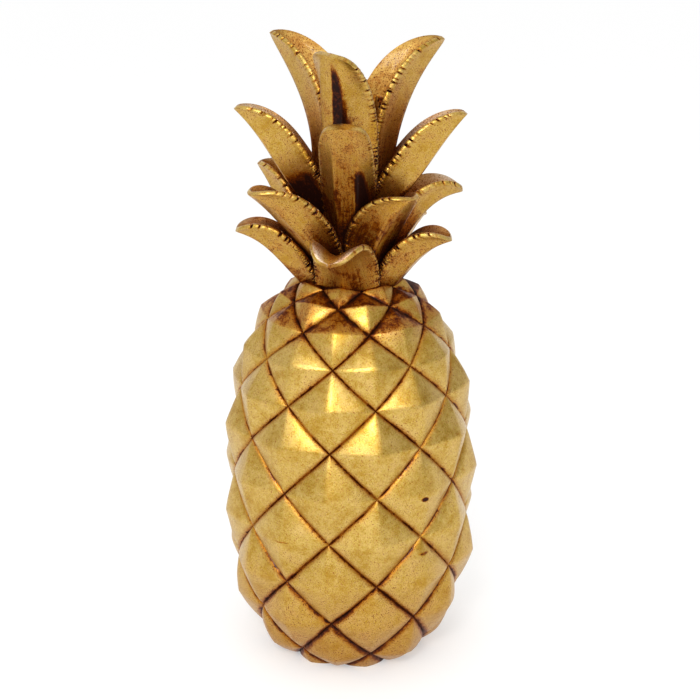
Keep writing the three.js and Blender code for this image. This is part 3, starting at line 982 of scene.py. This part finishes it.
# %% Join and cut
def foot_cutter():
    """A block of everything under the foot."""
    side = 4 * FRUIT_RADIUS * MM
    corners = [(x, y, z) for x in (-side / 2, side / 2) for y in (-side / 2, side / 2) for z in (-side, 0.0)]
    faces = [(0, 1, 3, 2), (4, 6, 7, 5), (0, 4, 5, 1), (2, 3, 7, 6), (0, 2, 6, 4), (1, 5, 7, 3)]
    mesh = bpy.data.meshes.new("foot_cutter")
    mesh.from_pydata(corners, [], faces)
    return object_of(mesh, "foot_cutter")


def combine(piece, others, operation):
    """Joins others to a piece, or cuts them from it, and removes them."""
    group = bpy.data.collections.new("operands")
    bpy.context.scene.collection.children.link(group)
    for other in others:
        group.objects.link(other)
    modifier = piece.modifiers.new("combine", "BOOLEAN")
    modifier.operation = operation
    modifier.solver = "MANIFOLD"
    modifier.operand_type = "COLLECTION"
    modifier.collection = group
    mesh = settled(piece)
    for other in others:
        bpy.data.objects.remove(other)
    bpy.data.collections.remove(group)
    return mesh


fruit.data = combine(fruit, leaves + [stem], "UNION")
fruit.data = combine(fruit, [foot_cutter()], "DIFFERENCE")
corners = sum(len(face.vertices) for face in fruit.data.polygons)
print("casting:", len(fruit.data.polygons), "faces,", corners - 2 * len(fruit.data.polygons), "triangles")

# %% [markdown]
# ## Where the wash and the painted shade lie
#
# A cloth wipes the wash off whatever it can reach, and leaves it in the corners, and the same corners get
# painted shade. That is the same question as how much of the sky a point sees. From each point, a tree sends
# rays out over the side that faces away from the surface, and counts how many soon hit the casting itself.
# Painting this by hand would take a day, and would not follow a change of shape.

# %% Shelter
SHELTER_RAYS = 48
SHELTER_REACH = 30.0
SHELTER_LIFT = 0.25


def shelter_tree(sizes):
    """Stores the share of rays that hit something near, with near hits counting more."""
    tree, given = tree_with("measure_the_shelter", sizes)
    start = tree.nodes.new("GeometryNodeRepeatInput")
    finish = tree.nodes.new("GeometryNodeRepeatOutput")
    start.pair_with_output(finish)
    tree.links.new(given["Rays"], start.inputs["Iterations"])
    none_yet = add(tree, STORE, {"Geometry": given["Geometry"], "Name": "shelter", "Value": 0.0})
    tree.links.new(none_yet.outputs[0], start.inputs["Geometry"])
    towards = {"Min": (-1.0, -1.0, -1.0), "Max": (1.0, 1.0, 1.0), "Seed": start.outputs["Iteration"]}
    towards = add(tree, RANDOM, towards, data_type="FLOAT_VECTOR")
    towards = add(tree, VECTOR, towards, operation="NORMALIZE")
    normal = add(tree, "GeometryNodeInputNormal").outputs[0]
    towards = add(tree, VECTOR, towards, normal, operation="ADD")
    lifted = add(tree, VECTOR, {0: normal, "Scale": SHELTER_LIFT * MM}, operation="SCALE")
    here = add(tree, "GeometryNodeInputPosition")
    origin = add(tree, VECTOR, here, lifted, operation="ADD")
    ray = add(
        tree,
        "GeometryNodeRaycast",
        {
            "Target Geometry": given["Geometry"],
            "Source Position": origin,
            "Ray Direction": towards,
            "Ray Length": given["Reach"],
        },
    )
    nearness = add(tree, MATH, ray.outputs["Hit Distance"], given["Reach"], operation="DIVIDE")
    nearness = add(tree, RANGE, nearness, 0.0, 1.0, 1.0, 0.25)
    hit = product(tree, ray.outputs["Is Hit"], nearness)
    share = add(tree, MATH, hit, given["Rays"], operation="DIVIDE")
    so_far = add(tree, STORED, {"Name": "shelter"})
    total = add(tree, MATH, so_far, share, operation="ADD")
    counted = {"Geometry": start.outputs["Geometry"], "Name": "shelter", "Value": total}
    tree.links.new(add(tree, STORE, counted).outputs[0], finish.inputs["Geometry"])
    end_tree(tree, finish.outputs["Geometry"], given["Material"])
    return tree


shelter_sizes = {"Rays": SHELTER_RAYS, "Reach": SHELTER_REACH * MM, "Material": gilding}
fruit.data = apply_tree(fruit, shelter_tree(shelter_sizes), shelter_sizes)
shelter = np.zeros(len(fruit.data.vertices), dtype=np.float32)
fruit.data.attributes["shelter"].data.foreach_get("value", shelter)
print("shelter from", round(float(shelter.min()), 2), "to", round(float(shelter.max()), 2))

# %% [markdown]
# ## Finish the piece
#
# Smooth shading rounds the fine mesh, and only real folds stay sharp: the creases where leaves meet, the
# notches, and the rim of the foot.

# %% Name and ride
SHARP_FROM = math.radians(50)

pineapple = fruit
pineapple.name = "gilded_pineapple"
pineapple.data.name = "gilded_pineapple"
pineapple.data.shade_smooth()
pineapple.data.set_sharp_from_angle(angle=SHARP_FROM)
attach(pineapple, "root")
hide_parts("pineapple")
print("piece:", pineapple.name, "with", len(pineapple.data.vertices), "points")

# %% [markdown]
# ## Studio
#
# The ornament stands on a white table that is lit from below, as for a catalogue picture, so that its
# shadow stays faint. A large soft box above the camera, a little to the left, gives the pale reflections on
# the eyes that lean that way, and a small bright lamp in it makes them glint. The room is white, and darker
# at its sides, most on the right.

# %% Floor
FLOOR_HALF = 12.0
TABLE_GLOW = 0.4


def white_floor():
    """A plain pale floor, large enough to fill the view, and a little lit from below."""
    mesh = bpy.data.meshes.new("floor")
    corners = [(-FLOOR_HALF, -FLOOR_HALF, 0), (FLOOR_HALF, -FLOOR_HALF, 0), (FLOOR_HALF, FLOOR_HALF, 0)]
    mesh.from_pydata(corners + [(-FLOOR_HALF, FLOOR_HALF, 0)], [], [(0, 1, 2, 3)])
    acrylic = bpy.data.materials.new("white_acrylic_table")
    acrylic.use_nodes = True
    tree = acrylic.node_tree
    tree.nodes.clear()
    plain = add(tree, "ShaderNodeBsdfDiffuse", {"Color": linear("#D2D2D2")})
    lit = add(tree, "ShaderNodeEmission", {"Color": linear("#FFFFFF"), "Strength": TABLE_GLOW})
    add(tree, "ShaderNodeOutputMaterial", {"Surface": add(tree, "ShaderNodeAddShader", plain, lit)})
    mesh.materials.append(acrylic)
    return object_of(mesh, "floor")


floor = white_floor()
print("floor:", 2 * FLOOR_HALF, "m across")


# %% Lights
def soft_box(name, place, aim, width, height, power):
    """A rectangular area light at a place, turned towards a point."""
    light = bpy.data.lights.new(name, "AREA")
    light.shape = "RECTANGLE"
    light.size = width
    light.size_y = height
    light.energy = power
    lamp = bpy.data.objects.new(name, light)
    lamp.location = place
    lamp.rotation_euler = (Vector(aim) - Vector(place)).to_track_quat("-Z", "Y").to_euler()
    bpy.context.scene.collection.objects.link(lamp)
    print("lamp:", name, power, "W")


MIDDLE = (0.0, 0.0, 0.16)
soft_box("large_box_above_the_camera", (-0.05, -1.23, 1.02), MIDDLE, 2.0, 1.1, 6.4)
soft_box("small_bright_lamp", (-0.20, -1.16, 0.98), MIDDLE, 0.3, 0.25, 5.2)


# %% Room
LEFT_SHADE = 0.22
RIGHT_SHADE = 0.4


def white_room():
    """White where the camera sees it, and shaded at both sides in what the gold reflects."""
    world = bpy.data.worlds.new("studio")
    bpy.context.scene.world = world
    world.use_nodes = True
    tree = world.node_tree
    tree.nodes.clear()
    direction = add(tree, "ShaderNodeTexCoord").outputs["Generated"]
    along_x = add(tree, "ShaderNodeSeparateXYZ", direction).outputs[0]
    left = add(tree, RANGE, along_x, -1.0, -0.5, 1.0 - LEFT_SHADE, 1.0)
    right = add(tree, RANGE, along_x, 0.3, 0.9, 1.0, 1.0 - RIGHT_SHADE)
    glow = product(tree, left, right)
    reflected = add(tree, "ShaderNodeBackground", {"Color": linear("#FFFFFF"), "Strength": glow})
    seen = add(tree, "ShaderNodeBackground", {"Color": linear("#FFFFFF"), "Strength": 1.0})
    to_camera = add(tree, "ShaderNodeLightPath").outputs["Is Camera Ray"]
    both = add(tree, "ShaderNodeMixShader", to_camera, reflected, seen)
    add(tree, "ShaderNodeOutputWorld", {"Surface": both})
    print("room:", world.name)


white_room()
bpy.context.scene.view_settings.view_transform = "Standard"

# %% [markdown]
# ## Camera
#
# The photograph was taken with a long lens, from a little above. A camera could be placed by eye, but then
# no size could be compared with the photograph. So its place, its pitch and its lens were fitted: from
# here, the foot, the outline and the rows of eyes fall where they do there.

# %% Camera
CAMERA_BACK = 0.7168
CAMERA_UP = 0.3801
CAMERA_PITCH = 16.68
FOCAL_PIXELS = 1420
PICTURE_PIXELS = 700
SENSOR_MM = 36

lens = bpy.data.cameras.new("camera")
lens.sensor_width = SENSOR_MM
lens.lens = SENSOR_MM * FOCAL_PIXELS / PICTURE_PIXELS
camera = bpy.data.objects.new("camera", lens)
camera.location = (0.0, -CAMERA_BACK, CAMERA_UP)
camera.rotation_euler = (math.radians(90 - CAMERA_PITCH), 0.0, 0.0)
bpy.context.scene.collection.objects.link(camera)
bpy.context.scene.camera = camera
print("lens:", round(lens.lens, 1), "mm")

# %% [markdown]
# ## The end
#
# The scene is brought up to date.

# %% The end
bpy.context.view_layer.update()
